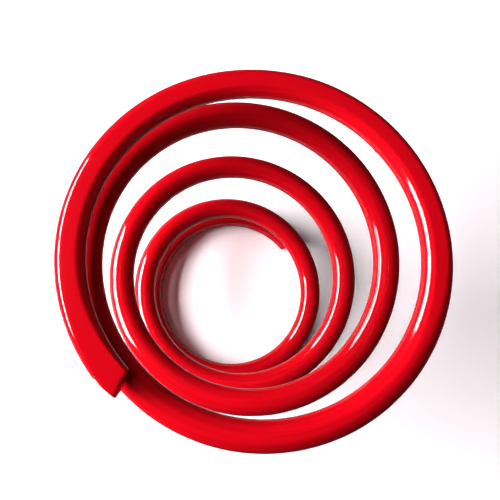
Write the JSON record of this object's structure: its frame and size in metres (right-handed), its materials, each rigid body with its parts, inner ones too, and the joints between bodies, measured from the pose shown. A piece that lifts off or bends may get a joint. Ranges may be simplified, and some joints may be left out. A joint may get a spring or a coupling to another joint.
{
  "type": "conical compression spring",
  "caption": "Conical compression spring of round wire, powder coated, with level, ground end coils; it stands on its small end.",
  "frame": {"origin": "on the coil axis, in the plane of the small end's ground seat", "axes": "+Z along the coil axis, from the small end up to the large end; +X and +Y are square to it, with the small tip 37 degrees anticlockwise from +X and the large tip at 223 degrees, seen from above"},
  "size_m": [0.1028, 0.1, 0.1154],
  "materials": {
    "powder_coat": "gloss red powder coat"
  },
  "bodies": {
    "root": {"spring_coil": "powder_coat"}
  },
  "joints": []
}
